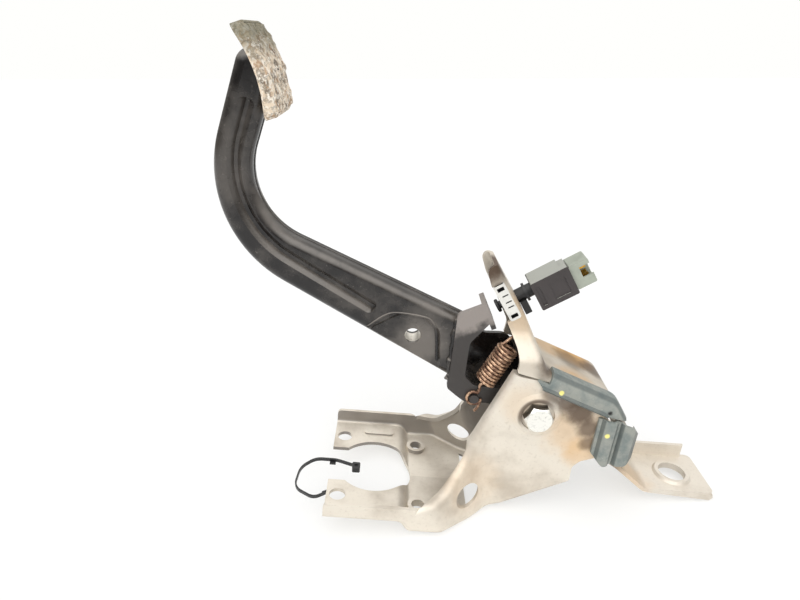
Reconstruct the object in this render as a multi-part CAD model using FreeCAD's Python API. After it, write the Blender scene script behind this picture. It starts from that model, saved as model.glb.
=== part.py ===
import FreeCAD, Part
import math
import os

# Brake pedal on its mounting bracket. Millimetres.
# Origin: centre of the booster opening, on the mounting face of the front studs.
# +Z away from the firewall, +X up in the vehicle, +Y across it, along the pivot.

# Bracket sheet and side plates
sheet = 2.5
bend_in = 2.0
flange_half = 51.0
box_half = 27.0
fold_wide = 40.0
fold_narrow = 70.0
fold_tilt = 22.0
fold_radius = 10.0
front_edge = -30.0
lip_height = 12.0
step_depth = 7.0
step_start = 17.5
step_length = 5.0
rim_depth = 8.0

# Booster opening and studs
opening_radius = 25.5
fork_half = 17.0
stud_y = 30.5
front_stud_x = -22.7
rear_stud_x = 29.8
front_stud_radius = 5.25
rear_stud_radius = 4.2
collar_radius = 6.8
collar_height = 3.0
floor_end = 62.0
drain_x = 60.0
drain_z = 12.0
drain_radius = 7.5

# Pivot
pivot_x = 96.0
pivot_z = 71.0
bolt_radius = 5.0
bolt_clearance = 0.1
head_flats = 16.0
head_height = 6.4
nut_height = 8.0
washer_radius = 10.0
washer_thick = 2.0
dimple_base = 15.5
dimple_top = 12.6
dimple_height = 1.3
dimple_recess = 10.4
sleeve_radius = 7.0
running_clearance = 0.05
bush_radius = 9.0
bush_flange_radius = 11.0
bush_flange_thick = 1.6
end_play = 0.3
hub_radius = 12.0

# Upper bracket
stay_sheet = 2.0
stay_half = 14.5
stay_bend = 3.0
flare_top = 121.0
flare_bottom = 106.0
stiff_sheet = 2.0

# Brake lamp switch, along its own axis
switch_x = 63.1
switch_z = 127.7
switch_angle = 34.5
holder_near = 7.5
holder_long = 7.0
holder_high = 18.7
holder_low = 5.8
holder_proud = 1.5
barrel_radius = 4.2
barrel_end = 26.7
plunger_radius = 2.4
plunger_tip = 3.2
plunger_cap = 4.2
plunger_cap_long = 2.0
body_long = 23.8
body_high = 7.4
body_low = 11.6
body_near = 10.0
body_far = 7.0
socket_long = 12.0
socket_wall = 1.2

# Rear leg
leg_sheet = 2.6
leg_half = 20.0
leg_top = 15.0
leg_end = 227.0
leg_flange = 9.5
leg_hole_x = 205.0
leg_hole_y = -2.0
leg_hole_radius = 9.0
leg_lip = 5.8

# Pedal arm
arm_half = 9.0
arm_sheet = 2.2
arm_edge = 6.0
arm_end_x = 50.0
outer_bend = 72.0
inner_bend = 42.0
groove_bend = 58.0
groove_profile = [(-1.0, 6.6), (0.0, 4.4), (1.0, 2.9), (2.2, 1.7), (3.2, 1.0)]
pocket_depth = 1.4
pocket_slope = 1.6
pin_x = 16.3
pin_z = 108.9
pin_radius = 5.0
pin_collar_radius = 7.5

# Hub plates
hub_sheet = 3.0
striker_far = 8.0
anchor_radius = 1.6
anchor_end = -6.0
peg_radius = 2.4
peg_proud = 3.4

# Pad
pad_x = -69.0
pad_z = 255.2
pad_lean = 21.5
pad_face_radius = 72.0
pad_width = 48.0
pad_height = 47.0
pad_corner = 7.0
rubber_face = 2.8
pad_sheet = 2.0
rubber_lip = 1.3
rubber_wrap = 3.0
rib_pitch = 7.0
rib_gap = 2.6
rib_deep = 1.5

# Return spring
spring_y = -12.0
spring_low = (63.8, 84.0)
spring_high = (74.8, 108.2)
spring_radius = 6.0
wire_radius = 1.1
spring_turns = 11
eye_radius = 4.4
eye_x = 58.3
eye_z = 71.4

# Cable tie
tie_wide = 2.6
tie_thick = 1.0
tie_tilt = 16.0
tie_rise = 6.8

X = FreeCAD.Vector(1, 0, 0)
Y = FreeCAD.Vector(0, 1, 0)
Z = FreeCAD.Vector(0, 0, 1)
ORIGIN = FreeCAD.Vector(0, 0, 0)
FAR = 300.0

box_inner = box_half - sheet
stay_inner = stay_half - stay_sheet - stay_bend
sleeve_bore = bolt_radius + bolt_clearance


def unit(angle):
    """Direction in the XZ plane at an angle from +X."""
    turn = math.radians(angle)
    return FreeCAD.Vector(math.cos(turn), 0, math.sin(turn))


fold_dir = unit(fold_tilt)
fold_line = unit(fold_tilt + 90)
axis_u = unit(switch_angle)
axis_v = unit(switch_angle - 90)
switch_origin = FreeCAD.Vector(switch_x, 0, switch_z)
pivot = FreeCAD.Vector(pivot_x, 0, pivot_z)
pad_normal = unit(pad_lean)
pad_up = unit(pad_lean + 90)
pad_face = FreeCAD.Vector(pad_x, 0, pad_z)
pad_centre = pad_face - pad_normal * pad_face_radius


def corner(before, point, after):
    """Tangent points and middle point of the arc that rounds one corner."""
    here = FreeCAD.Vector(point[0], point[1], 0)
    back = (FreeCAD.Vector(before[0], before[1], 0) - here).normalize()
    ahead = (FreeCAD.Vector(after[0], after[1], 0) - here).normalize()
    half = back.getAngle(ahead) / 2
    reach = point[2] / math.tan(half)
    inward = (back + ahead).normalize()
    middle = here + inward * (point[2] / math.sin(half) - point[2])
    return here + back * reach, middle, here + ahead * reach


def outline(points, origin=ORIGIN, e1=X, e2=Z, closed=True):
    """Wire through 2D points (a, b) or (a, b, corner radius), in the plane of e1 and e2."""
    def place(p):
        return origin + e1 * p[0] + e2 * p[1]

    count = len(points)
    stops = []
    for i, point in enumerate(points):
        inside = closed or 0 < i < count - 1
        if inside and len(point) == 3 and point[2] > 0:
            stops.append(corner(points[i - 1], point, points[(i + 1) % count]))
        else:
            stops.append((FreeCAD.Vector(point[0], point[1], 0),))
    edges = []
    for i, stop in enumerate(stops):
        if len(stop) == 3:
            edges.append(Part.Arc(*[place(p) for p in stop]).toShape())
        if i == count - 1 and not closed:
            continue
        start = place(stop[-1])
        end = place(stops[(i + 1) % count][0])
        if start.distanceToPoint(end) > 1e-6:
            edges.append(Part.makeLine(start, end))
    return Part.Wire(edges)


def prism(points, along, origin=ORIGIN, e1=X, e2=Z):
    """Solid of a closed outline pushed along a vector."""
    return Part.Face(outline(points, origin, e1, e2)).extrude(along)


def side_prism(points, low, high):
    """Outline in the XZ plane, from one Y to another."""
    return prism(points, Y * (high - low), Y * low)


def offset(points, gap, closed=False):
    """The path moved to its left by a gap, with its corner radii kept parallel."""
    moved = []
    count = len(points)
    for i, point in enumerate(points):
        normals = []
        for a, b in ((i - 1, i), (i, i + 1)):
            if closed or (a >= 0 and b < count):
                head = points[b % count]
                run = FreeCAD.Vector(head[0] - points[a][0], head[1] - points[a][1], 0).normalize()
                normals.append(FreeCAD.Vector(-run.y, run.x, 0))
        if len(normals) == 1:
            shift = normals[0] * gap
            moved.append((point[0] + shift.x, point[1] + shift.y))
            continue
        shift = (normals[0] + normals[1]) * (gap / (1 + normals[0].dot(normals[1])))
        turn = normals[0].cross(normals[1]).z
        radius = point[2] if len(point) == 3 else 0
        if radius:
            radius = radius - gap if turn > 0 else radius + gap
        moved.append((point[0] + shift.x, point[1] + shift.y, max(radius, 0)))
    return moved


def ribbon(points, thick):
    """Closed outline of a strip whose right-hand face is the path."""
    return list(points) + list(reversed(offset(points, thick)))


def rod(radius, start, direction, length):
    return Part.makeCylinder(radius, length, start, direction)


def across(radius, x, z, low, high):
    """Cylinder along Y at a place in the XZ plane."""
    return rod(radius, FreeCAD.Vector(x, low, z), Y, high - low)


def upright(radius, x, y, low, high):
    """Cylinder along Z at a place in plan."""
    return rod(radius, FreeCAD.Vector(x, y, low), Z, high - low)


def mirrored(shape):
    return shape.mirror(ORIGIN, Y)


def rim_edges(body, keep):
    """Edges between a face that closes Y and one that runs along Y, where keep(point) is true."""
    found = []
    for edge in body.Edges:
        kinds = set()
        for face in body.ancestorsOfType(edge, Part.Face):
            u0, u1, v0, v1 = face.ParameterRange
            normal = face.normalAt((u0 + u1) / 2, (v0 + v1) / 2)
            kinds.add(abs(normal.y) > 0.05)
        middle = edge.valueAt((edge.FirstParameter + edge.LastParameter) / 2)
        if len(kinds) == 2 and keep(middle):
            found.append(edge)
    return found


# Side plates: one pan-shaped pressing, its wall narrowing behind the flange
step_end = step_start + step_length
bottom_path = [(front_edge, 0), (step_start, 0, 5), (step_end, -step_depth, 5),
               (62, -step_depth, 25), (84, -1.5, 30), (126, 23.5)]
front_path = [(78.3, 98.5), (60, 51, 60), (52, 31.5, 40), (42, 18, 15), (29, lip_height)]
wall_path = [(-90, 0), (fold_wide, 0, fold_radius),
             (fold_narrow, flange_half - box_half, fold_radius), (260, flange_half - box_half)]


def wall_region(inset):
    """Everything between a wall surface and the centre plane, folds included."""
    path = [(p[0], p[1] - flange_half) + tuple(p[2:]) for p in wall_path]
    path = offset(path, inset) if inset else path
    region = path + [(260, 0), (-90, 0)]
    return prism(region, fold_line * 2 * FAR, fold_line * -FAR, fold_dir, Y)


bottom_open = [(front_edge - 40, 0)] + bottom_path[1:-1] + [(173, 45.5)]
front_open = [(96.6, 146)] + front_path[1:]
plate_trim = [(front_edge, -30), (127, -30), (124.8, 34, 4), (129, 39, 5), (137, 42, 4), (147, 44, 4),
              (148.6, 56.5, 2), (136.1, 78.3, 4), (97.7, 94.5, 4), (50, 101.7), (33, lip_height + 2),
              (29, lip_height), (front_edge, lip_height, 3)]


def pan_outline(gap):
    """Bottom and front runs of the pan, moved inwards by a gap and closed well outside the plate."""
    bottom = offset(bottom_open, gap)
    front = offset(front_open, gap)
    return bottom + [(220, 105), (220, 200), (front[0][0], 200)] + front + [
        (front[-1][0] - 4, 60), (bottom[0][0], 60)]


def on_plate_run(p):
    return p.y < -5 and p.x < 150 and p.z < 110 and not (p.x < 28 and p.z > 20)


def side_plate():
    """Outer skin less inner skin, both with their bends rounded, cut to the edge of the sheet."""
    outside = side_prism(pan_outline(0), -FAR, 0).common(wall_region(0))
    inside = side_prism(pan_outline(sheet), -FAR, 1).common(wall_region(sheet))
    outside = outside.makeFillet(bend_in + sheet, rim_edges(outside, on_plate_run))
    inside = inside.makeFillet(bend_in, rim_edges(inside, on_plate_run))
    plate = outside.cut(inside).common(side_prism(plate_trim, -FAR, 0))
    return trim_rims(plate)


def trim_rims(plate):
    """Keeps the whole flange under the studs and a narrow rim everywhere else."""
    beyond = wall_region(rim_depth)
    floor = [(front_edge - 5, -20), (floor_end, -20), (floor_end, 4), (front_edge - 5, 4)]
    plate = plate.cut(beyond.cut(side_prism(floor, -FAR, FAR)))
    taper = [(20, -flange_half + sheet + 0.2), (30, -flange_half + sheet + 0.2), (57, -box_inner), (57, 0),
             (20, 0)]
    plate = plate.cut(prism(taper, Z * 40, Z * collar_height * 1.6, X, Y))
    mouth = Part.makeBox(FAR, 2 * fork_half, 4 * step_depth, FreeCAD.Vector(-FAR, -fork_half, -2 * step_depth))
    bore = upright(opening_radius, 0, 0, -2 * step_depth, 2 * step_depth)
    return plate.cut(mouth).cut(bore)


def pressed_dimple(wall_y):
    """Round raised ring about the pivot, with a recess for the bolt head: what it adds and what it cuts."""
    base = FreeCAD.Vector(pivot_x, wall_y, pivot_z)
    raised = Part.makeCone(dimple_base, dimple_top, dimple_height, base, Y * -1)
    raised = raised.cut(rod(dimple_recess, base, Y * -1, dimple_height))
    inner = Part.makeCone(dimple_base, dimple_top, dimple_height, base + Y * sheet, Y * -1)
    inner = inner.cut(rod(dimple_recess + sheet, base + Y * sheet, Y * -1, dimple_height))
    return raised, inner


def studded(plate):
    """Adds the pivot dimple, the rear stud collar, the raised pad and all holes."""
    raised, hollow = pressed_dimple(-box_half)
    collar = upright(collar_radius, rear_stud_x, -stud_y, sheet - step_depth - 0.5,
                     sheet - step_depth + collar_height)
    pad = prism([(-9, -46, 3), (13, -46, 3), (13, -34, 3), (-9, -34, 3)], Z * (sheet + 1.2), ORIGIN, X, Y)
    pad_under = prism([(-6.5, -43.5, 1.5), (10.5, -43.5, 1.5), (10.5, -36.5, 1.5), (-6.5, -36.5, 1.5)],
                      Z * 1.2, ORIGIN, X, Y)
    plate = plate.fuse([raised, collar, pad]).cut(hollow).cut(pad_under)
    tools = [across(sleeve_bore, pivot_x, pivot_z, -FAR, 0),
             across(drain_radius, drain_x, drain_z, -FAR, 0),
             upright(front_stud_radius, front_stud_x, -stud_y, -20, 20),
             upright(rear_stud_radius, rear_stud_x, -stud_y, -20, 20)]
    for tool in tools:
        plate = plate.cut(tool)
    return plate.removeSplitter()


# Upper bracket: a channel that flares from the switch stay into the top of the box
def on_switch(u, v, y=0):
    """Point at u along the switch axis, v below it and y across it."""
    return switch_origin + axis_u * u + axis_v * v + Y * y


web_u = holder_near + holder_long + stay_sheet
seam_start = (98.2, 99.9)
seam_end = (142.0, 83.5)
web_bend = 12.0
web_drop = (155.5, 64.0)
stay_top = on_switch(web_u, -28.6)
stay_foot = on_switch(web_u, 7.9)
web_path = [(stay_top.x, stay_top.z), (stay_foot.x, stay_foot.z, 30), seam_start + (5,),
            seam_end + (web_bend,), web_drop + (9,), (web_drop[0], 50)]
stay_left = [(150, 57, 2), (136.7, 79.1, 5), (97.7, 95.1, 3), (78.5, 99.5, 2), (80.4, 108, 20),
             (73.5, 121, 10), (58, 148, 20), (53.5, 159.5, 4)]
flare_path = [(-stay_half, 400), (-stay_half, flare_top, 8), (-box_half, flare_bottom, 8), (-box_half, 0)]


def width_region(inset):
    """Space between the two cheeks of the upper bracket."""
    path = offset(flare_path, inset) if inset else flare_path
    other = [(-p[0],) + tuple(p[1:]) for p in reversed(path)]
    return prism(path + other, X * 2 * FAR, X * -FAR, Y, Z)


def web_outline(gap):
    """Web of the upper bracket run on past both ends and closed far behind it."""
    first = stay_top - axis_v * 30
    last = web_path[-1]
    run = offset([(first.x, first.z)] + web_path[1:-1] + [(last[0], last[1] - 40)], gap)
    return run + [(-20, run[-1][1]), (-20, run[0][1])]


def on_web(p):
    return p.x > 45 and 25 < p.z < 175


def upper_bracket():
    """Web and two cheeks, bent from one sheet, with the switch hole, its notch and the spring's pin inside."""
    outside = side_prism(web_outline(0), -FAR, FAR).common(width_region(0))
    inside = side_prism(web_outline(-stay_sheet), -FAR, FAR).common(width_region(stay_sheet))
    outside = outside.makeFillet(stay_bend + stay_sheet, rim_edges(outside, on_web))
    inside = inside.makeFillet(stay_bend, rim_edges(inside, on_web))
    bracket = outside.cut(inside)
    top = (stay_top.x, stay_top.z)
    beyond = stay_top + axis_u * 20
    edge = [top, (beyond.x, beyond.z), (200, 160), (200, 57)] + stay_left
    bracket = bracket.common(side_prism(edge, -FAR, FAR))
    notch = switch_block(0, web_u - stay_sheet, -holder_high, holder_low, -FAR, -stay_inner)
    bracket = bracket.cut(notch).cut(switch_rod(barrel_radius, 0, web_u + 5))
    pin = across(anchor_radius, anchor_x, anchor_z, -stay_half + stay_sheet / 2, anchor_end)
    return bracket.fuse(pin).removeSplitter()


def switch_block(u0, u1, v0, v1, y0, y1, radius=0):
    """Block square to the switch axis, its four long corners rounded."""
    points = [(u0, v0, radius), (u1, v0, radius), (u1, v1, radius), (u0, v1, radius)]
    return prism(points, Y * (y1 - y0), switch_origin + Y * y0, axis_u, axis_v)


def switch_rod(radius, u0, u1):
    return rod(radius, on_switch(u0, 0), axis_u, u1 - u0)


def switch_holder():
    """Moulded holder snapped into the stay, with two slots and two ribs on its near face."""
    near = -stay_half - holder_proud
    far_u = holder_near + holder_long
    holder = switch_block(holder_near, far_u, -holder_high, holder_low, near, stay_inner - 0.1, 1.4)
    for v in (-holder_high + 1.6, holder_low - 4.0):
        holder = holder.cut(switch_block(holder_near + 1.4, far_u - 1.3, v, v + 2.4, near, near + 3, 0.4))
    for v in (-11.5, -7.0, -3.6):
        holder = holder.cut(switch_block(holder_near + 2.4, far_u - 0.9, v, v + 0.8, near, near + 0.8))
    return holder.cut(switch_rod(barrel_radius, 0, 40))


def switch_barrel():
    """Barrel with a locking lug behind the stay and the plunger's bore in front."""
    barrel = switch_rod(barrel_radius, holder_near - 1, barrel_end)
    lug = switch_block(web_u + 0.4, web_u + 4.6, 2, 11, -6, 2, 0.6)
    flange = switch_rod(barrel_radius + 1.6, web_u + 5.4, web_u + 7)
    return barrel.fuse([lug, flange]).removeSplitter().cut(
        switch_rod(plunger_radius + running_clearance, 0, barrel_end - 4))


def switch_plunger():
    """Round-nosed plunger with a shoulder that stops against the barrel."""
    stem = switch_rod(plunger_radius, plunger_tip + 0.5, barrel_end - 6 - plunger_travel)
    cap = switch_rod(plunger_cap, plunger_tip, plunger_tip + plunger_cap_long)
    cap = cap.makeFillet(0.6, [e for e in cap.Edges if e.Closed])
    return stem.fuse(cap).removeSplitter()


plunger_travel = holder_near - 1 - plunger_tip - plunger_cap_long
anchor_x = 77.8
anchor_z = 124.0


def switch_body():
    """Square housing with a stepped near face and a notch in its top at the connector end."""
    end = barrel_end + body_long
    body = switch_block(barrel_end, end, -body_high, body_low, -body_near, body_far, 1)
    body = body.cut(switch_block(end - 4, end, -body_high, -body_high + 1.5, -4, body_far))
    body = body.cut(switch_block(barrel_end + 10, end - 4, -2.5, 8.5, -body_near, -body_near + 0.6, 0.8))
    return body.cut(switch_block(barrel_end + 2, barrel_end + 4.5, -4, 9, -body_near, -body_near + 0.8, 0.8))


def switch_connector():
    """Socket shroud, open at its end and cut back on its near side."""
    start = barrel_end + body_long
    shroud = switch_block(start, start + socket_long, -body_high + 1.8, body_low - 1.2, -8, 5, 1)
    room = switch_block(start + 2, start + socket_long + 1, -body_high + 1.8 + socket_wall,
                        body_low - 1.2 - socket_wall, -8 + socket_wall, 5 - socket_wall, 0.5)
    window = switch_block(start + 5.5, start + socket_long + 1, -2.5, 4.5, -9, -6, 0)
    return shroud.cut(room).cut(window)


def switch_terminals():
    """Four flat blades in the socket."""
    start = barrel_end + body_long + 2
    blades = []
    for v in (-1.0, 5.0):
        for y in (-4.6, 0.6):
            blades.append(switch_block(start, start + 7.5, v - 1.1, v + 1.1, y - 0.4, y + 0.4))
    return Part.makeCompound(blades)


# Pivot hardware
def hexagon(flats, y0, y1):
    """Hexagonal prism about the pivot axis."""
    reach = flats / 2 / math.cos(math.radians(30))
    points = []
    for i in range(6):
        turn = math.radians(60 * i)
        points.append((pivot_x + reach * math.cos(turn), pivot_z + reach * math.sin(turn)))
    return side_prism(points, y0, y1)


def at_pivot(radius, y0, y1):
    return across(radius, pivot_x, pivot_z, y0, y1)


def pivot_bolt():
    head = hexagon(head_flats, -box_half - head_height, -box_half)
    crown = Part.makeCone(head_flats / 2 + 4, head_flats / 2 - 0.4, 4.4,
                          pivot + Y * (-box_half - head_height + 4.4), Y * -1)
    shank = at_pivot(bolt_radius, -box_half - 1, box_half + washer_thick + nut_height + 2)
    head = head.common(crown.fuse(at_pivot(head_flats, -box_half - head_height + 4.4, 0)))
    return head.fuse(shank).removeSplitter()


def pivot_nut():
    low = box_half + washer_thick
    return hexagon(head_flats, low, low + nut_height).cut(at_pivot(bolt_radius, 0, FAR))


def pivot_washer():
    return at_pivot(washer_radius, box_half, box_half + washer_thick).cut(at_pivot(bolt_radius, 0, FAR))


def pivot_sleeve():
    return at_pivot(sleeve_radius, -box_inner, box_inner).cut(at_pivot(sleeve_bore, -FAR, FAR))


def near_bush():
    """Flanged bush pressed into the hub tube and running on the sleeve."""
    outer = box_inner - end_play
    flange = at_pivot(bush_flange_radius, -outer, -outer + bush_flange_thick)
    barrel = at_pivot(bush_radius, -outer, -outer + 14)
    return flange.fuse(barrel).cut(at_pivot(sleeve_radius + running_clearance, -FAR, FAR)).removeSplitter()


def hub_tube():
    half = box_inner - end_play - bush_flange_thick
    return at_pivot(hub_radius, -half, half).cut(at_pivot(bush_radius, -FAR, FAR))


# Hub plates, welded to the arm and the hub tube
striker_top = (54.8, 134.3)
striker_foot = (62.8, 118.9)
near_hub_outline = [(41.4, 127.3, 4), striker_top, (57.46, 135.68), (62.86, 125.29), (56.5, 116.5, 6),
                    (50.9, 109, 8),
                    (50.9, 85.5, 5), (57.5, 79.5, 6), (75, 79, 12), (86, 86, 8), (111, 86.5, 14),
                    (111, 55.5, 14), (84, 55.5, 12), (71.5, 67.5, 14), (52.5, 67.5, 6), (46.5, 71.8, 5),
                    (40.6, 76.5, 4), (41.2, 92, 10)]
far_hub_outline = [(41.4, 115, 4), (56, 115, 5), (61, 106.5, 6), (78, 107.5, 9),
                   (86, 93, 10), (111, 87, 14), (111, 55.5, 14), (84, 55.5, 12), (71.5, 67.5, 14),
                   (52.5, 67.5, 6), (46.5, 71.8, 5), (40.6, 76.5, 4), (41.2, 92, 10)]


def near_hub_plate():
    """Plate cut back in a C for the spring, with the spring's peg, its top turned across as the striker."""
    low = -arm_half - hub_sheet
    plate = side_prism(near_hub_outline, low, -arm_half)
    striker = side_prism(list(reversed(ribbon([striker_foot, striker_top], -hub_sheet))), low, striker_far)
    corners = [e for e in striker.Edges if abs(e.CenterOfMass.y - striker_far) < 0.01
               and abs(e.BoundBox.ZLength) < hub_sheet]
    striker = striker.makeFillet(3, corners)
    plate = plate.fuse(striker).removeSplitter()
    peg = across(peg_radius, eye_x, eye_z, low - peg_proud, low)
    head = across(peg_radius + 0.5, eye_x, eye_z, low - peg_proud, low - peg_proud + 0.8)
    plate = plate.fuse([peg, head]).removeSplitter()
    return plate.cut(at_pivot(hub_radius, -FAR, 0))


def far_hub_plate():
    plate = side_prism(far_hub_outline, arm_half, arm_half + hub_sheet)
    return plate.cut(at_pivot(hub_radius, 0, FAR))


# Pedal arm: two pressed half shells, seam on the centre plane
arm_outline = [(48, 78.7), (arm_end_x, 121.4), (-88.9, 178.3, inner_bend), (-65.2, 262),
               (-86.6, 264, 9), (-114.6, 164.2, outer_bend)]
groove_path = [(-81.5, 239), (-99.4, 175.9, groove_bend), (-8, 125.2)]
pocket_outline = [(-12, 98), (-11.5, 112.5, 7), (7, 124, 6), (21, 123.4, 6), (32.5, 114.5, 7), (36.5, 78)]


def strip(path, half, y):
    """Closed wire of a strip about a path, at one depth."""
    sides = []
    for gap in (half, -half):
        side = offset(path, gap)
        sides.append([side[0] + (half * 0.8,)] + side[1:-1] + [side[-1] + (half * 0.8,)])
    return outline(sides[0] + list(reversed(sides[1])), Y * y)


def groove(extra):
    """Soft-shouldered channel along the arm; extra widens and deepens it by the sheet."""
    rings = []
    for depth, half in groove_profile:
        rings.append(strip(groove_path, half + extra * 0.8, -arm_half + depth + extra))
    return Part.makeLoft(rings, True, False)


def pocket(extra):
    """Shallow recess round the pin hole, its wall sloped; extra widens and deepens it by the sheet."""
    above = pocket_slope / pocket_depth * 0.5
    top = outline(offset(pocket_outline, above + extra, True), Y * (-arm_half - 0.5))
    inner = offset(pocket_outline, extra * 0.6 - pocket_slope, True)
    floor = outline(inner, Y * (-arm_half + pocket_depth + extra))
    return Part.makeLoft([top, floor], True, True)


def near_arm_shell():
    outer = side_prism(arm_outline, -arm_half, 0)
    outer = outer.makeFillet(arm_edge, [e for e in outer.Edges if abs(e.BoundBox.YMax + arm_half) < 0.01])
    room = side_prism(offset(arm_outline, arm_sheet, True), -arm_half + arm_sheet, 1)
    room = room.makeFillet(arm_edge - arm_sheet, [
        e for e in room.Edges if abs(e.BoundBox.YMax + arm_half - arm_sheet) < 0.01])
    room = room.cut(groove(arm_sheet)).cut(pocket(arm_sheet))
    shell = outer.cut(groove(0)).cut(pocket(0)).cut(room)
    shell = shell.cut(across(pin_radius, pin_x, pin_z, -FAR, FAR))
    return shell.cut(pad_block(0, pad_width, 2 * pad_height, 0, 30).cut(pad_cylinder(plate_back)))


def pin_collar():
    half = arm_half - pocket_depth - arm_sheet
    collar = across(pin_collar_radius, pin_x, pin_z, -half, half)
    return collar.cut(across(pin_radius, pin_x, pin_z, -FAR, FAR))


# Pad: curved steel plate with a ribbed rubber cover that wraps its edge
plate_front = pad_face_radius - rubber_face
plate_back = plate_front - pad_sheet
lip_back = plate_back - rubber_lip


def pad_block(inset, width, height, radius, reach=14):
    """Upright block over the pad outline, its corners rounded."""
    w = width / 2 - inset
    h = height / 2 - inset
    points = [(-w, -h, radius), (w, -h, radius), (w, h, radius), (-w, h, radius)]
    return prism(points, pad_normal * (reach + 20), pad_face - pad_normal * reach, Y, pad_up)


def pad_cylinder(radius):
    return rod(radius, pad_centre - Y * pad_width, Y, 2 * pad_width)


def pad_plate():
    block = pad_block(rubber_wrap, pad_width, pad_height, pad_corner - rubber_wrap)
    return block.common(pad_cylinder(plate_front)).cut(pad_cylinder(plate_back))


def pad_rubber():
    """Cover with a ribbed face, a pocket for the plate and a lip behind its edge."""
    cover = pad_block(0, pad_width, pad_height, pad_corner).common(pad_cylinder(pad_face_radius))
    cover = cover.cut(pad_cylinder(lip_back))
    faces = [e for e in cover.Edges if pad_centre.distanceToPoint(
        FreeCAD.Vector(e.CenterOfMass.x, 0, e.CenterOfMass.z)) > pad_face_radius - 1.2]
    cover = cover.makeFillet(1.5, faces)
    cover = cover.cut(pad_plate())
    opening = pad_block(rubber_wrap + 4, pad_width, pad_height, pad_corner - rubber_wrap)
    cover = cover.cut(opening.common(pad_cylinder(plate_back)))
    count = int(pad_height / 2 / rib_pitch)
    for i in range(-count, count + 1):
        turn = i * rib_pitch / pad_face_radius
        out = pad_normal * math.cos(turn) + pad_up * math.sin(turn)
        up = pad_up * math.cos(turn) - pad_normal * math.sin(turn)
        low = pad_centre + out * (pad_face_radius - rib_deep)
        half = pad_width / 2 - 4
        slot = [(-half, -rib_gap / 2, 1), (half, -rib_gap / 2, 1), (half, rib_gap / 2, 1),
                (-half, rib_gap / 2, 1)]
        cover = cover.cut(prism(slot, out * 4, low, Y, up))
    return cover


# Rear leg: a channel inside the box, drawn out into a tab with one flange up and one down
leg_path = [(114, 60), (122, 57, 6), (179, leg_top - leg_sheet, 10), (leg_end, leg_top - leg_sheet)]


def rear_leg():
    plan = [(110, -box_inner), (145, -box_inner, 12), (157, -leg_half, 12), (leg_end, -leg_half, 4),
            (leg_end, leg_half, 4), (157, leg_half, 12), (145, box_inner, 12), (110, box_inner)]
    far_side = offset([(110, box_inner), (145, box_inner, 12), (157, leg_half, 12), (leg_end, leg_half)],
                      -leg_sheet)
    near_side = [(146, -box_inner + leg_sheet), (90, -box_inner + leg_sheet)]
    room_plan = [(90, far_side[0][1])] + far_side[1:-1] + [
        (leg_end - 8, far_side[-1][1]), (leg_end - 6, leg_half + 2), (leg_end + 5, leg_half + 2),
        (leg_end + 5, -leg_half - 9), (152, -leg_half - 9)] + near_side
    deep = prism(plan, Z * FAR, Z * -50, X, Y)
    room = prism(room_plan, Z * FAR, Z * -50, X, Y)
    whole = side_prism(ribbon(leg_path, leg_sheet + leg_flange), -FAR, FAR).common(deep)
    raised = offset(leg_path, leg_sheet)
    start = (raised[0][0] - 20, raised[0][1] + 7)
    hollow = ribbon([start] + raised[1:-1] + [(leg_end + 20, raised[-1][1])], 3 * leg_flange)
    leg = whole.cut(side_prism(hollow, -FAR, FAR).common(room))
    lip = [(182, leg_top - leg_sheet - 0.3), (leg_end - 2, leg_top - leg_lip), (leg_end, leg_top - leg_lip + 2, 1),
           (leg_end - 1, leg_top - 1), (182, leg_top - 1)]
    leg = leg.fuse(side_prism(lip, -leg_half, -leg_half + leg_sheet))
    ring = Part.makeCone(leg_hole_radius + leg_sheet + 1.2, leg_hole_radius + leg_sheet - 0.2, 1.9,
                         FreeCAD.Vector(leg_hole_x, leg_hole_y, leg_top - 0.1), Z)
    leg = leg.fuse(ring).removeSplitter()
    return leg.cut(upright(leg_hole_radius, leg_hole_x, leg_hole_y, -20, 60))


# Stiffener over the seam and the ribbed clamp at the end of the box
def seam_stiffener():
    """Folded strip over the seam, from a point round the bend of the web to the clamp."""
    start = FreeCAD.Vector(seam_start[0], 0, seam_start[1])
    corner_point = FreeCAD.Vector(seam_end[0], 0, seam_end[1])
    run = (corner_point - start).normalize()
    after = (FreeCAD.Vector(web_drop[0], 0, web_drop[1]) - corner_point).normalize()
    turn = run.getAngle(after)
    reach = web_bend * math.tan(turn / 2)
    long = (corner_point - start).Length - reach
    rise = FreeCAD.Vector(-run.z, 0, run.x)
    rise_after = FreeCAD.Vector(-after.z, 0, after.x)
    edge = stay_bend + stay_sheet
    path = [(-box_half - 2.0, -10.2), (-box_half, -8.2, 1), (-box_half, 0, edge), (-box_half + 9, 0)]
    profile = ribbon(path, stiff_sheet)
    fold = prism(profile, run * (long + 6), start - run * 6, Y, rise)
    bend = Part.Face(outline(profile, start + run * long, Y, rise))
    bend = bend.revolve(start + run * long - rise * web_bend, Y, math.degrees(turn))
    end = prism(profile, after * 12, corner_point + after * reach, Y, rise_after)
    fold = fold.fuse([bend, end]).removeSplitter()
    side = [(-5, -6), (-4, -5.1), (2.5, -5.1), (2.5, 5), (60, 5), (60, -30), (0.5, -30), (0.5, -9)]
    fold = fold.common(prism(side, Y * FAR, start - Y * FAR, run, rise))
    clear = [(80, 120), (170, 120), (170, 68), (150.5, 71.4), (146, 73.2), (134, 75.6), (128, 74), (80, 74)]
    return fold.common(side_prism(clear, -FAR, 0))


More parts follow.
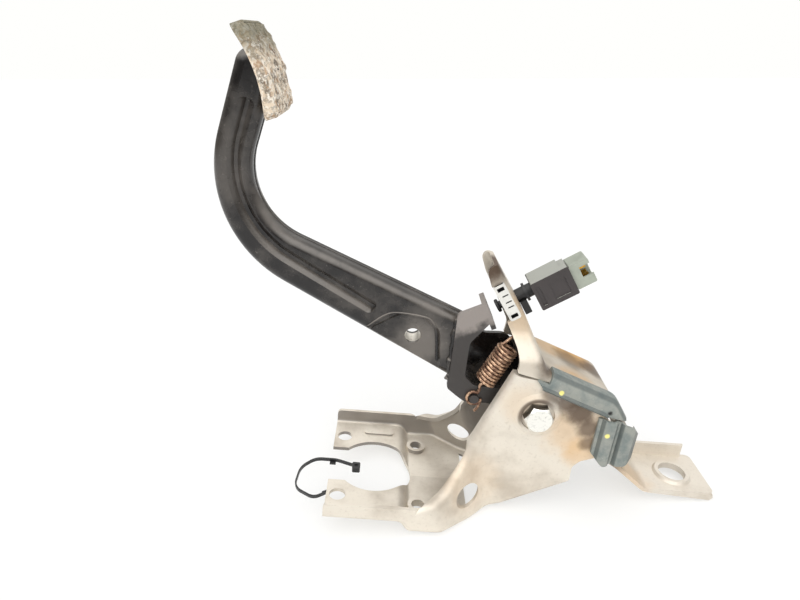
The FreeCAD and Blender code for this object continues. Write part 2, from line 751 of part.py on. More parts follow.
def end_clamp():
    """Corrugated plate that laps the side plate and turns round the end of the box."""
    skin = box_half
    path = [(133.5, -skin), (136.5, -skin, 1.2), (138.5, -skin - 3, 1.2), (143, -skin - 3, 1.2),
            (145, -skin, 1.2), (148.5, -skin, 1.2), (150.5, -skin - 3, 1.2), (155, -skin - 3, 3),
            (160, -skin + 3, 3), (160, -skin + 7)]
    wall = prism(ribbon(list(reversed(path)), stiff_sheet), Z * 60, Z * 30, X, Y)
    shape = [(132.5, 73.5, 2), (146, 72, 3), (156, 69, 5), (163, 60), (163, 45), (155, 41, 4), (141, 39.6, 3),
             (133, 48, 3)]
    return wall.common(side_prism(shape, -FAR, 0))


# Wire forms
def bent(points, radius):
    """Wire through 3D points, straight runs joined by tangent arcs."""
    edges = []
    last = points[0]
    for i in range(1, len(points) - 1):
        here = points[i]
        back = (points[i - 1] - here).normalize()
        ahead = (points[i + 1] - here).normalize()
        half = back.getAngle(ahead) / 2
        reach = radius / math.tan(half)
        middle = here + (back + ahead).normalize() * (radius / math.sin(half) - radius)
        edges.append(Part.makeLine(last, here + back * reach))
        edges.append(Part.Arc(here + back * reach, middle, here + ahead * reach).toShape())
        last = here + ahead * reach
    edges.append(Part.makeLine(last, points[-1]))
    return Part.Wire(edges)


def hexagon_ring(radius, middle, e1, e2):
    """Six-sided section of a wire, in the plane of e1 and e2."""
    turns = [math.radians(60 * i) for i in range(7)]
    points = [middle + e1 * (radius * math.cos(turn)) + e2 * (radius * math.sin(turn)) for turn in turns]
    return Part.makePolygon(points[:6] + points[:1])


def swept(path, radius):
    first = path.Edges[0]
    start = first.valueAt(first.FirstParameter)
    direction = first.tangentAt(first.FirstParameter)
    e1 = direction.cross(Y).normalize()
    return path.makePipeShell([hexagon_ring(radius, start, e1, direction.cross(e1))], True, False)


def return_spring():
    """Coil with an eye round the hub plate's peg at one end and a hook over the stay's pin at the other."""
    low = FreeCAD.Vector(spring_low[0], spring_y, spring_low[1])
    high = FreeCAD.Vector(spring_high[0], spring_y, spring_high[1])
    axis = (high - low).normalize()
    length = (high - low).Length
    side = axis.cross(Y)
    helix = Part.makeHelix(length / spring_turns, length, spring_radius)
    section = hexagon_ring(wire_radius, FreeCAD.Vector(spring_radius, 0, 0), X, Z)
    coil = Part.Wire(helix.Edges).makePipeShell([section], True, True)
    turn = FreeCAD.Rotation(side, Y, axis, "ZXY")
    coil.Placement = FreeCAD.Placement(low, turn)
    eye_y = -arm_half - hub_sheet - wire_radius
    eye = []
    for angle in (60, 120, 180, 240, 300, 345):
        eye.append(FreeCAD.Vector(eye_x, eye_y, eye_z) + unit(angle) * eye_radius * 1.12)
    lower = bent([low + side * spring_radius, low - axis * 2.5 + side * 4 - Y * 1.6] + eye
                 + [eye[-1] - X * 1.5 - Z * 8], 1.4)
    loop = anchor_radius + wire_radius + 0.1
    pin = FreeCAD.Vector(anchor_x, (anchor_end - stay_half + stay_sheet) / 2, anchor_z)
    upper = bent([high + side * spring_radius, high + axis * 3.5 + side * 3, pin + X * loop - Z * 4,
                  pin + (X + Z) * loop, pin + (Z - X) * loop, pin - X * loop - Z * 2.5], loop * 0.9)
    return coil.fuse([swept(lower, wire_radius), swept(upper, wire_radius)])


# Cable tie lying under the near flange
tie_path = [(-31, -27.3), (-38, -31.5, 7), (-51, -25, 7), (-49, -10, 12), (-40, -2.6, 12), (-26, -2.6, 20),
            (-13, -6.2)]
tie_tail = [(-32.5, -27.2), (-24, -21.8), (-24.54, -20.96), (-33.04, -26.36)]


def cable_tie():
    """Flat strap bent round in a C, its tail flat under the flange, its locking head free."""
    slope = unit(tie_tilt)
    along = Y * slope.x + Z * slope.z
    up = Z * slope.x - Y * slope.z
    base = Z * tie_rise - up * (tie_wide / 2)
    strap = prism(ribbon(tie_path, tie_thick), up * tie_wide, base, X, along)
    tail = prism(tie_tail, Z * -tie_wide, ORIGIN, X, Y)
    lug = [(-30.5, -4.2), (-26.5, -4.2), (-26.5, -2.2), (-30.5, -2.2)]
    lug = prism(lug, up * 1.8, base - up * 1.4, X, along)
    block = [(-15, -9.4, 1), (-9.6, -9.4, 1), (-9.6, -4.2, 1), (-15, -4.2, 1)]
    block = prism(block, up * 4.6, base - up, X, along)
    slot = [(-13.4, -7.8), (-11.2, -7.8), (-11.2, -5.8), (-13.4, -5.8)]
    slot = prism(slot, up * 1.5, base + up * 2.6, X, along)
    return strap.fuse([tail, lug, block.cut(slot)])


shapes = {}


def save():
    os.makedirs("parts", exist_ok=True)
    for name, shape in shapes.items():
        shape.exportStep("parts/" + name + ".step")
        print(name, len(shape.Solids), round(shape.Volume / 1000, 2), "cm3", shape.isValid())


shapes["near_side_plate"] = studded(side_plate())
shapes["far_side_plate"] = mirrored(shapes["near_side_plate"])
shapes["upper_bracket"] = upper_bracket()
shapes["seam_stiffener"] = seam_stiffener()
shapes["end_clamp"] = end_clamp()
shapes["rear_leg"] = rear_leg()
shapes["pivot_bolt"] = pivot_bolt()
shapes["pivot_nut"] = pivot_nut()
shapes["pivot_washer"] = pivot_washer()
shapes["pivot_sleeve"] = pivot_sleeve()
shapes["switch_holder"] = switch_holder()
shapes["switch_barrel"] = switch_barrel()
shapes["switch_plunger"] = switch_plunger()
shapes["switch_body"] = switch_body()
shapes["switch_connector"] = switch_connector()
shapes["switch_terminals"] = switch_terminals()
shapes["near_arm_shell"] = near_arm_shell()
shapes["far_arm_shell"] = mirrored(shapes["near_arm_shell"])
shapes["pin_collar"] = pin_collar()
shapes["near_hub_plate"] = near_hub_plate()
shapes["far_hub_plate"] = far_hub_plate()
shapes["hub_tube"] = hub_tube()
shapes["near_bush"] = near_bush()
shapes["far_bush"] = mirrored(shapes["near_bush"])
shapes["pad_plate"] = pad_plate()
shapes["pad_rubber"] = pad_rubber()
shapes["return_spring"] = return_spring()
shapes["cable_tie"] = cable_tie()
save()
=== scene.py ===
import math

import bpy
import numpy as np
from bpy.props import FloatProperty, FloatVectorProperty, IntProperty, PointerProperty
from mathutils import Matrix, Vector


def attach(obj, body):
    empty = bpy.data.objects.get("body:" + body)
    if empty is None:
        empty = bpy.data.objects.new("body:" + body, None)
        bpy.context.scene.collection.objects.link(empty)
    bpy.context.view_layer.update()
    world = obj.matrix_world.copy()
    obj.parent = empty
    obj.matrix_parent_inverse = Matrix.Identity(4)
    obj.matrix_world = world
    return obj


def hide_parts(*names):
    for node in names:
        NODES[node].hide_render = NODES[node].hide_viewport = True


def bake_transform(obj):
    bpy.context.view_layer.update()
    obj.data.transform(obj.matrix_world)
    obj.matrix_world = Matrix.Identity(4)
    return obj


bl_info = {
    "name": "Brake pedal",
    "version": (1, 0, 0),
    "blender": (4, 5, 0),
    "location": "View3D > Sidebar > Brake pedal",
    "description": "Dresses the packed brake pedal: coated sheet metal, ribbed pad, return spring and lamp switch",
    "category": "Object",
}

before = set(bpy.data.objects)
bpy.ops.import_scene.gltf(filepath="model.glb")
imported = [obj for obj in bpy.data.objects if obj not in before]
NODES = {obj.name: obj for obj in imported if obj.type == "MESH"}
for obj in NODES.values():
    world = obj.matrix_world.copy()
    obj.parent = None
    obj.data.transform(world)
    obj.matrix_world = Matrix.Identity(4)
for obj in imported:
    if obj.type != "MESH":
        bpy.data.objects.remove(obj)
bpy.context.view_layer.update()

MM = 0.001

# Places and directions that the solids fix: the pivot axis, the switch, the arm's near face and the pad's ribs

PIVOT = (0.096, 0, 0.071)
PLUNGER_AXIS = (0.824126, 0, 0.566406)
SWITCH_UP = (-0.566, 0, 0.824)
ARM_FACE_MM = -8.75
RIB_PITCH_MM = 6.0
RIB_PHASE = math.pi / 3

TUBE_SIDES = 12


def linear(code):
    """Linear colour, with alpha 1, from an sRGB hex value."""
    parts = [int(code[i:i + 2], 16) / 255 for i in (1, 3, 5)]
    return tuple(c / 12.92 if c <= 0.04045 else ((c + 0.055) / 1.055) ** 2.4 for c in parts) + (1.0,)


def colour_property(name, code, text):
    return FloatVectorProperty(name=name, description=text, subtype="COLOR", size=4, min=0, max=1,
                               default=linear(code))


def length_property(name, value, text):
    return FloatProperty(name=name, description=text, default=value, min=0, unit="LENGTH")


def strength_property(name, value, text):
    return FloatProperty(name=name, description=text, default=value, min=0)


# Sizes and colours that a user would change

class BracketSettings(bpy.types.PropertyGroup):
    zinc: colour_property("Zinc", "#e1d9cb", "Galvanised sheet of the bracket")
    zinc_dull: colour_property("Dull zinc", "#b3a797", "Weathered patches of the zinc")
    straw: colour_property("Straw tint", "#d9a860", "Yellow to orange film on the zinc")
    brown: colour_property("Brown tint", "#574638", "Burnt film and old wax on the zinc")
    teal: colour_property("Grey-green coat", "#969890", "Coat on the folded stiffener and clamp")
    paint_dot: colour_property("Paint dot", "#efe58a", "Inspection dots on the grey-green pieces")
    bolt: colour_property("Bolt zinc", "#f4f3ec", "Bright zinc on the pivot hardware")


class ArmSettings(bpy.types.PropertyGroup):
    coat: colour_property("Black coat", "#151211", "Dip coat on the arm")
    dust: colour_property("Dust", "#978f86", "Dust that dulls the black coat")
    hub: colour_property("Hub coat", "#8e8680", "Dusty coat on the hub plates")
    bead: length_property("Weld bead", 1.5 * MM, "Radius of the weld bead beside the hub plate")
    seam: length_property("Seam", 0.45 * MM, "Radius of the weld line along the joint of the shells")


class PadSettings(bpy.types.PropertyGroup):
    rubber: colour_property("Rubber", "#4d473f", "Moulded rubber of the pad")
    mud: colour_property("Dry mud", "#e6d4bc", "Dried mud on the tread")
    mud_dark: colour_property("Damp mud", "#85796a", "Darker mud in the hollows")
    mud_pale: colour_property("Pale mud", "#f7eee0", "Chalky crust on the mud")
    ochre: colour_property("Ochre", "#b08a66", "Ochre lumps in the mud")
    algae: colour_property("Green film", "#6b6a56", "Green-grey film on the upper end")
    mud_thick: length_property("Mud thickness", 1.3 * MM, "Thickest crust above the tread")


class SpringSettings(bpy.types.PropertyGroup):
    wire: length_property("Wire radius", 0.95 * MM, "Radius of the spring wire")
    coil: length_property("Coil radius", 6.0 * MM, "Mean radius of the coil")
    turns: IntProperty(name="Turns", description="Turns of the coil", default=11, min=3, max=30)
    steel: colour_property("Wire steel", "#dcb797", "Oil-tempered wire with a rusty film")
    steel_dark: colour_property("Wire shade", "#6d4f3f", "Darker oxide on the wire")


class SwitchSettings(bpy.types.PropertyGroup):
    body: colour_property("Switch body", "#3a3433", "Glass-filled plastic of the switch")
    # The top face's lighter colour is painted light, from the light that falls from above on the dark body.
    lit_top_face: colour_property("Painted light on top", "#a6a79e", "Painted light on the top face of the switch")
    socket: colour_property("Socket", "#a3a89a", "Grey-green plastic of the connector socket")
    holder: colour_property("Holder", "#dcdad3", "White plastic of the holder")
    brass: colour_property("Terminals", "#c79a45", "Plated brass blades")
    strap: colour_property("Tie", "#131313", "Black plastic of the tie")


class StageSettings(bpy.types.PropertyGroup):
    floor: colour_property("Floor", "#ffffff", "White table under the part")
    sky: colour_property("Backdrop", "#fffffd", "What the camera sees behind the part")
    tilt: FloatProperty(name="Floor tilt", description="Slope of the table in the part's frame",
                        default=math.radians(5.1), subtype="ANGLE")
    pale: FloatProperty(name="Pale floor", description="Share of the floor that stays white in the camera's view",
                        default=0.6, min=0, max=1)
    sun: strength_property("Key strength", 2.1, "Irradiance of the wide overhead light")
    ambient: strength_property("Ambient", 0.6, "Even light from all round")
    room_dim: strength_property("Room at eye level", 0.2, "What gloss mirrors at eye level")
    room_bright: strength_property("Room overhead", 1.7, "What gloss mirrors from above")


# Meshes from numpy

def mesh_piece(name, points, faces, body, material):
    """Object at the origin from an array of points in metres and a list of index arrays, one per kind of
    face."""
    mesh = bpy.data.meshes.new(name)
    mesh.from_pydata(points.reshape(-1, 3), [], [face for block in faces for face in block.tolist()])
    mesh.polygons.foreach_set("use_smooth", np.ones(len(mesh.polygons), dtype=bool))
    piece = bpy.data.objects.new(name, mesh)
    bpy.context.scene.collection.objects.link(piece)
    mesh.materials.append(material)
    if body:
        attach(piece, body)
    return piece


def grid_faces(rows, columns, wrap_columns=False):
    """Quads of a grid of rows by columns points: each joins a point, the next in its row and the two after them."""
    this_row = np.arange(rows - 1)[:, None] * columns
    next_row = this_row + columns
    here = np.arange(columns if wrap_columns else columns - 1)[None, :]
    after = (here + 1) % columns
    return np.stack([this_row + here, this_row + after, next_row + after, next_row + here], -1).reshape(-1, 4)


def normals(path):
    """Two unit normals at each point of a path: the first is the cross product of Y, or of X where the path runs
    along Y, with the tangent, and the second the cross product of the tangent with the first."""
    tangent = np.gradient(path, axis=0)
    tangent /= np.linalg.norm(tangent, axis=1)[:, None]
    guide = np.where(np.abs(tangent[:, 1:2]) > 0.9, [[1.0, 0.0, 0.0]], [[0.0, 1.0, 0.0]])
    first = np.cross(guide, tangent)
    first /= np.linalg.norm(first, axis=1)[:, None]
    return first, np.cross(tangent, first)


def tube_points(path, radius, sides):
    """Rings of points: path(s) + radius * (cos a * first normal + sin a * second normal)."""
    first, second = normals(path)
    angle = np.linspace(0, 2 * math.pi, sides, endpoint=False)
    radius = np.broadcast_to(radius, (len(path),))[:, None, None]
    ring = np.cos(angle)[None, :, None] * first[:, None] + np.sin(angle)[None, :, None] * second[:, None]
    return path[:, None] + radius * ring


def tube_piece(name, path, radius, sides, body, material):
    """Tube along a path: quads round it and one flat face at each end."""
    head = np.arange(sides)[None, ::-1]
    tail = np.arange(sides)[None, :] + (len(path) - 1) * sides
    faces = [grid_faces(len(path), sides, True), head, tail]
    return mesh_piece(name, tube_points(path, radius, sides), faces, body, material)


def smooth_path(points, count):
    """Catmull-Rom curve through points, sampled evenly in its parameter: 0.5 * (2b + (c - a)f
    + (2a - 5b + 4c - d)f^2 + (3b - a - 3c + d)f^3) between b and c, with a before them and d after."""
    p = np.asarray(points, float)
    p = np.vstack([2 * p[0] - p[1], p, 2 * p[-1] - p[-2]])
    t = np.linspace(0, len(p) - 3 - 1e-9, count)
    i = t.astype(int)
    f = (t - i)[:, None]
    a, b, c, d = p[i], p[i + 1], p[i + 2], p[i + 3]
    return 0.5 * (2 * b + (c - a) * f + (2 * a - 5 * b + 4 * c - d) * f ** 2 + (3 * b - a - 3 * c + d) * f ** 3)


def ripple(x, y, size, seed):
    """Smooth noise in about -1 to 1: the sum of nine sine waves, 0.7 to 1.4 times the given size long, turned from
    each other by the golden angle and with scattered phases, over half their number."""
    number = np.arange(9)
    golden_angle = 2.39996
    angle = number * golden_angle + seed
    phase = np.sin(number * 12.9898 + seed * 78.233) * 43.7585
    wave = 2 * math.pi / (size * (0.7 + 0.09 * number))
    along_x = np.multiply.outer(x, np.cos(angle) * wave)
    along_y = np.multiply.outer(y, np.sin(angle) * wave)
    return np.sin(along_x + along_y + phase).sum(-1) / (len(number) / 2)


# Materials

def add(tree, kind, inputs=(), **settings):
    """Node with its settings and its inputs, each a value or the socket that feeds it."""
    node = tree.nodes.new(kind)
    for key, value in settings.items():
        setattr(node, key, value)
    for key, value in dict(inputs).items():
        if isinstance(value, bpy.types.NodeSocket):
            tree.links.new(value, node.inputs[key])
        else:
            node.inputs[key].default_value = value
    return node


def new_material(name):
    """Empty material, its shader and its Object coordinates."""
    material = bpy.data.materials.new(name)
    material.use_nodes = True
    tree = material.node_tree
    tree.nodes.clear()
    shader = add(tree, "ShaderNodeBsdfPrincipled")
    add(tree, "ShaderNodeOutputMaterial", {"Surface": shader.outputs[0]})
    return material, tree, shader, object_place(tree)


def object_place(tree):
    return add(tree, "ShaderNodeTexCoord").outputs["Object"]


def face_normal(tree):
    return add(tree, "ShaderNodeNewGeometry").outputs["Normal"]


def noise(tree, coordinates, size_mm, detail=3.0, rough=0.55):
    """Noise whose blobs are about size_mm across."""
    return add(tree, "ShaderNodeTexNoise", {"Vector": coordinates, "Scale": 1000 / size_mm, "Detail": detail,
                                            "Roughness": rough}).outputs["Fac"]


def ramp(tree, value, low, high, out_low=0.0, out_high=1.0):
    """Value carried smoothly from one range to another."""
    return add(tree, "ShaderNodeMapRange", {"Value": value, "From Min": low, "From Max": high, "To Min": out_low,
                                            "To Max": out_high}, interpolation_type="SMOOTHSTEP").outputs[0]


def mix(tree, share, first, second):
    """Colour between two, by a share from 0 to 1. The node's colours are its inputs 6 and 7 and its output 2."""
    return add(tree, "ShaderNodeMix", {0: share, 6: first, 7: second}, data_type="RGBA").outputs[2]


def calculate(tree, operation, *values):
    """Result of one operation on numbers or sockets."""
    return add(tree, "ShaderNodeMath", enumerate(values), operation=operation).outputs[0]


def multiply(tree, first, second):
    return calculate(tree, "MULTIPLY", first, second)


def along(tree, vector, direction):
    """Length of a vector along a direction: their dot product."""
    return add(tree, "ShaderNodeVectorMath", {0: vector, 1: direction}, operation="DOT_PRODUCT").outputs["Value"]


def component(tree, vector, axis):
    """Component of a vector along X, Y or Z, by its number 0, 1 or 2."""
    return add(tree, "ShaderNodeSeparateXYZ", {0: vector}).outputs[axis]


def recolour(material, share, tone):
    """Lays a tone over the colour of a finished material, by a share from 0 to 1."""
    tree = material.node_tree
    colour = tree.nodes["Principled BSDF"].inputs["Base Color"]
    tree.links.new(mix(tree, share, colour.links[0].from_socket, tone), colour)


def patch(tree, coordinates, centre_mm, radius_mm, edge, ragged):
    """1 inside a ball about a place, fading over its edge, which the ragged value pushes in and out."""
    centre = tuple(c * MM for c in centre_mm)
    far = add(tree, "ShaderNodeVectorMath", {0: coordinates, 1: centre}, operation="DISTANCE").outputs["Value"]
    radius = radius_mm * MM
    pushed = calculate(tree, "MULTIPLY_ADD", ragged, edge * radius, far)
    return ramp(tree, pushed, radius * 0.75, radius * (0.8 + edge), 1.0, 0.0)


def bump(tree, shader, height, strength, depth_mm):
    node = add(tree, "ShaderNodeBump", {"Height": height, "Strength": strength, "Distance": depth_mm * MM})
    tree.links.new(node.outputs[0], shader.inputs["Normal"])


def galvanised_sheet(name, base, dull, straw, brown, tinted):
    """Hot-dip galvanised steel sheet: pale soft-metal sheen, cloudy dull patches 30 mm across and a fine grain.
    Each tinted place is (centre mm, radius mm, "straw" or "brown", share)."""
    material, tree, shader, at = new_material(name)
    cloud = noise(tree, at, 34, 4)
    grain = noise(tree, at, 2.2, 5, 0.65)
    ragged = noise(tree, at, 9, 6, 0.62)
    colour = mix(tree, ramp(tree, cloud, 0.42, 0.72, 0, 0.75), base, dull)
    colour = mix(tree, ramp(tree, grain, 0.52, 0.75, 0, 0.35), colour, dull)
    for centre, radius, tint, share in tinted:
        cover = multiply(tree, patch(tree, at, centre, radius, 0.7, ragged), share)
        colour = mix(tree, cover, colour, straw if tint == "straw" else brown)
    tree.links.new(colour, shader.inputs["Base Color"])
    shader.inputs["Metallic"].default_value = 0.35
    tree.links.new(ramp(tree, cloud, 0.3, 0.75, 0.38, 0.58), shader.inputs["Roughness"])
    bump(tree, shader, grain, 0.25, 0.12)
    return material


def coated_steel(name, coat, dust, rough, dusty=0.5, upward_dust_and_sheen_share=0.5):
    """Dip-coated steel: a thin gloss film. Dust lies in 20 mm clouds and in fine specks. The faces that look up,
    most the slanted ones, get dust and a painted sheen."""
    material, tree, shader, at = new_material(name)
    cloud = noise(tree, at, 22, 4)
    speck = noise(tree, at, 1.6, 4, 0.7)
    upward = component(tree, face_normal(tree), 2)
    colour = mix(tree, ramp(tree, cloud, 0.45, 0.75, 0, dusty * 0.45), coat, dust)
    # Dust and a painted sheen on the faces that look up, most on the slanted ones.
    upward_dust_and_sheen = multiply(tree, ramp(tree, upward, 0.12, 0.5), ramp(tree, upward, 0.6, 0.85, upward_dust_and_sheen_share, upward_dust_and_sheen_share * 0.3))
    colour = mix(tree, multiply(tree, upward_dust_and_sheen, ramp(tree, cloud, 0.3, 0.55, 0.4, 1.0)), colour, dust)
    colour = mix(tree, ramp(tree, speck, 0.64, 0.72, 0, dusty), colour, dust)
    tree.links.new(colour, shader.inputs["Base Color"])
    tree.links.new(ramp(tree, cloud, 0.35, 0.75, rough, rough + 0.22), shader.inputs["Roughness"])
    bump(tree, shader, noise(tree, at, 5, 3), 0.12, 0.2)
    return material


def moulded_plastic(name, colour_value, rough, grain_mm=0.8):
    """Injection-moulded plastic: even colour with a fine spark-eroded grain and faint handling marks."""
    material, tree, shader, at = new_material(name)
    mark = noise(tree, at, 9, 3)
    darker = tuple(c * 0.72 for c in colour_value[:3]) + (1.0,)
    colour = mix(tree, ramp(tree, mark, 0.45, 0.75, 0, 0.6), colour_value, darker)
    tree.links.new(colour, shader.inputs["Base Color"])
    tree.links.new(ramp(tree, mark, 0.3, 0.7, rough - 0.07, rough + 0.1), shader.inputs["Roughness"])
    bump(tree, shader, noise(tree, at, grain_mm, 2), 0.2, 0.05)
    return material


def bright_metal(name, colour_value, rough):
    """Electroplated metal: bright, with fine handling scratches drawn 1.5 mm wide so that they show."""
    material, tree, shader, at = new_material(name)
    scratch = noise(tree, at, 1.5, 5, 0.7)
    darker = tuple(c * 0.55 for c in colour_value[:3]) + (1.0,)
    colour = mix(tree, ramp(tree, scratch, 0.5, 0.8), colour_value, darker)
    tree.links.new(colour, shader.inputs["Base Color"])
    shader.inputs["Metallic"].default_value = 1.0
    tree.links.new(ramp(tree, scratch, 0.35, 0.7, rough, rough + 0.2), shader.inputs["Roughness"])
    return material


def spring_wire(name, steel, dark):
    """Oil-tempered wire: brown oxide with rusty flecks 3 mm across and a soft sheen."""
    material, tree, shader, at = new_material(name)
    fleck = noise(tree, at, 3, 5, 0.7)
    tree.links.new(mix(tree, ramp(tree, fleck, 0.4, 0.65), dark, steel), shader.inputs["Base Color"])
    shader.inputs["Metallic"].default_value = 0.6
    shader.inputs["Roughness"].default_value = 0.34
    bump(tree, shader, fleck, 0.3, 0.1)
    return material


def pad_tread(name, rubber, mud, dark, pale, ochre, algae, cover):
    """Moulded rubber under dried mud: crust in 12 mm patches with damp areas 7 mm, ochre lumps 4.5 mm and chalky
    crumbs 2.2 mm across, dull all over. It is darker in the grooves between the ribs and has cracks where one noise
    passes its middle. A green-grey film thickens towards the upper end, 266 to 282 mm up."""
    material, tree, shader, at = new_material(name)
    patchy = noise(tree, at, 12, 5, 0.6)
    crumb = noise(tree, at, 2.2, 5, 0.7)
    tone = noise(tree, at, 7, 4)
    crust = mix(tree, ramp(tree, tone, 0.36, 0.52), dark, mud)
    turn = calculate(tree, "MULTIPLY_ADD", component(tree, at, 1), 2 * math.pi / (RIB_PITCH_MM * MM), RIB_PHASE)
    groove = ramp(tree, calculate(tree, "COSINE", turn), 0.5, 0.9, 0, 0.7)
    crust = mix(tree, multiply(tree, groove, ramp(tree, crumb, 0.35, 0.5)), crust, dark)
    lump = noise(tree, at, 4.5, 4, 0.6)
    crust = mix(tree, ramp(tree, lump, 0.52, 0.62, 0, 0.65), crust, ochre)
    crust = mix(tree, ramp(tree, crumb, 0.47, 0.60, 0, 0.95), crust, pale)
    from_middle = calculate(tree, "ABSOLUTE", calculate(tree, "SUBTRACT", noise(tree, at, 6.5, 5, 0.6), 0.5))
    crust = mix(tree, ramp(tree, from_middle, 0.005, 0.026, 0.5, 0.0), crust, rubber)
    high = calculate(tree, "MULTIPLY_ADD", tone, 0.02, component(tree, at, 2))
    crust = mix(tree, ramp(tree, high, 0.266, 0.282, 0, 0.75), crust, algae)
    share = ramp(tree, patchy, 0.62 - cover * 0.4, 0.72 - cover * 0.4)
    tree.links.new(mix(tree, share, rubber, crust), shader.inputs["Base Color"])
    shader.inputs["Roughness"].default_value = 0.88
    shader.inputs["Specular IOR Level"].default_value = 0.3
    bump(tree, shader, crumb, 0.8, 0.9)
    return material


def dress(names, material):
    """Gives CAD nodes one material."""
    for name in names:
        slots = NODES[name].data.materials
        slots.clear()
        slots.append(material)


# Operators, one for each piece or group of like pieces

class BRAKE_PEDAL_OT_stage(bpy.types.Operator):
    """Pale table, soft light and the camera"""
    bl_idname = "brake_pedal.stage"
    bl_label = "Stage"

    def execute(self, context):
        s = context.scene.pedal_stage
        reach = 4.0
        touch_x, touch_z = 0.047, -0.0075
        corner = np.array([[-reach, -reach], [reach, -reach], [reach, reach], [-reach, reach]])
        height = touch_z + (corner[:, :1] - touch_x) * math.tan(s.tilt)
        floor = mesh_piece("table", np.hstack([corner, height]), [np.array([[0, 1, 2, 3]])], None,
                           self.paper(s))
        self.world(context, s)
        self.lamp(context, s.sun)
        self.camera(context)
        context.scene.view_settings.view_transform = "Standard"
        return {"FINISHED"}

    def world(self, context, s):
        """Even light, a plain backdrop for the camera, and for gloss a room that is brighter overhead."""
        world = bpy.data.worlds.new("studio")
        context.scene.world = world
        world.use_nodes = True
        tree = world.node_tree
        tree.nodes.clear()
        rays = add(tree, "ShaderNodeLightPath").outputs
        cool, warm = (0.97, 0.98, 1.0, 1.0), (1.0, 0.985, 0.96, 1.0)
        lit = add(tree, "ShaderNodeBackground", {"Color": cool, "Strength": s.ambient})
        shown = add(tree, "ShaderNodeBackground", {"Color": tuple(s.sky), "Strength": 1.0})
        up = component(tree, add(tree, "ShaderNodeTexCoord").outputs["Generated"], 2)
        overhead = ramp(tree, up, 0.05, 0.75, s.room_dim, s.room_bright)
        room = add(tree, "ShaderNodeBackground", {"Color": warm, "Strength": overhead})
        mirrored = self.either(tree, rays["Is Glossy Ray"], lit, room)
        add(tree, "ShaderNodeOutputWorld",
            {"Surface": self.either(tree, rays["Is Camera Ray"], mirrored, shown).outputs[0]})

    def either(self, tree, share, first, second):
        """Node that mixes two shaders."""
        return add(tree, "ShaderNodeMixShader", {0: share, 1: first.outputs[0], 2: second.outputs[0]})

    def paper(self, s):
        """White card: matt, with a barely visible fibre. To the camera a share of it is plain backdrop."""
        material, tree, shader, at = new_material("white_card")
        tree.links.new(mix(tree, noise(tree, at, 60, 2), tuple(s.floor), linear("#fcfbf8")),
                       shader.inputs["Base Color"])
        shader.inputs["Roughness"].default_value = 1.0
        shader.inputs["Specular IOR Level"].default_value = 0.0
        seen = add(tree, "ShaderNodeLightPath").outputs["Is Camera Ray"]
        glow = add(tree, "ShaderNodeEmission", {"Color": tuple(s.sky), "Strength": 1.0})
        both = self.either(tree, multiply(tree, seen, s.pale), shader, glow)
        output = next(node for node in tree.nodes if node.type == "OUTPUT_MATERIAL")
        tree.links.new(both.outputs[0], output.inputs["Surface"])
        return material

    def lamp(self, context, strength):
        """Distant light as wide as a window, high up behind the camera's left shoulder."""
        spread = 1.6
        source = Vector((-0.25, -0.7, 1.0))
        light = bpy.data.lights.new("wide_light", "SUN")
        light.energy = strength
        light.angle = spread
        lamp = bpy.data.objects.new("wide_light", light)
        context.scene.collection.objects.link(lamp)
        lamp.rotation_mode = "QUATERNION"
        lamp.rotation_quaternion = source.to_track_quat("Z", "Y")

    def camera(self, context):
        """Stands 430 mm off, looks down 24 degrees and is rolled by 5 degrees, as the table is tilted."""
        place = Vector((-0.0061, -0.3327, 0.2761))
        roll = math.radians(5.0)
        pitch = math.radians(24.0)
        right = Vector((math.cos(roll), 0, math.sin(roll)))
        rise = Vector((-math.sin(roll), 0, math.cos(roll)))
        ahead = math.cos(pitch) * Vector((0, 1, 0)) - math.sin(pitch) * rise
        up = right.cross(ahead)
        data = bpy.data.cameras.new("camera")
        data.sensor_width = 36
        data.lens = 27
        data.clip_start = 0.01
        camera = bpy.data.objects.new("camera", data)
        context.scene.collection.objects.link(camera)
        turn = Matrix((right, up, -ahead)).transposed().to_4x4()
        camera.matrix_world = Matrix.Translation(place) @ turn
        context.scene.camera = camera


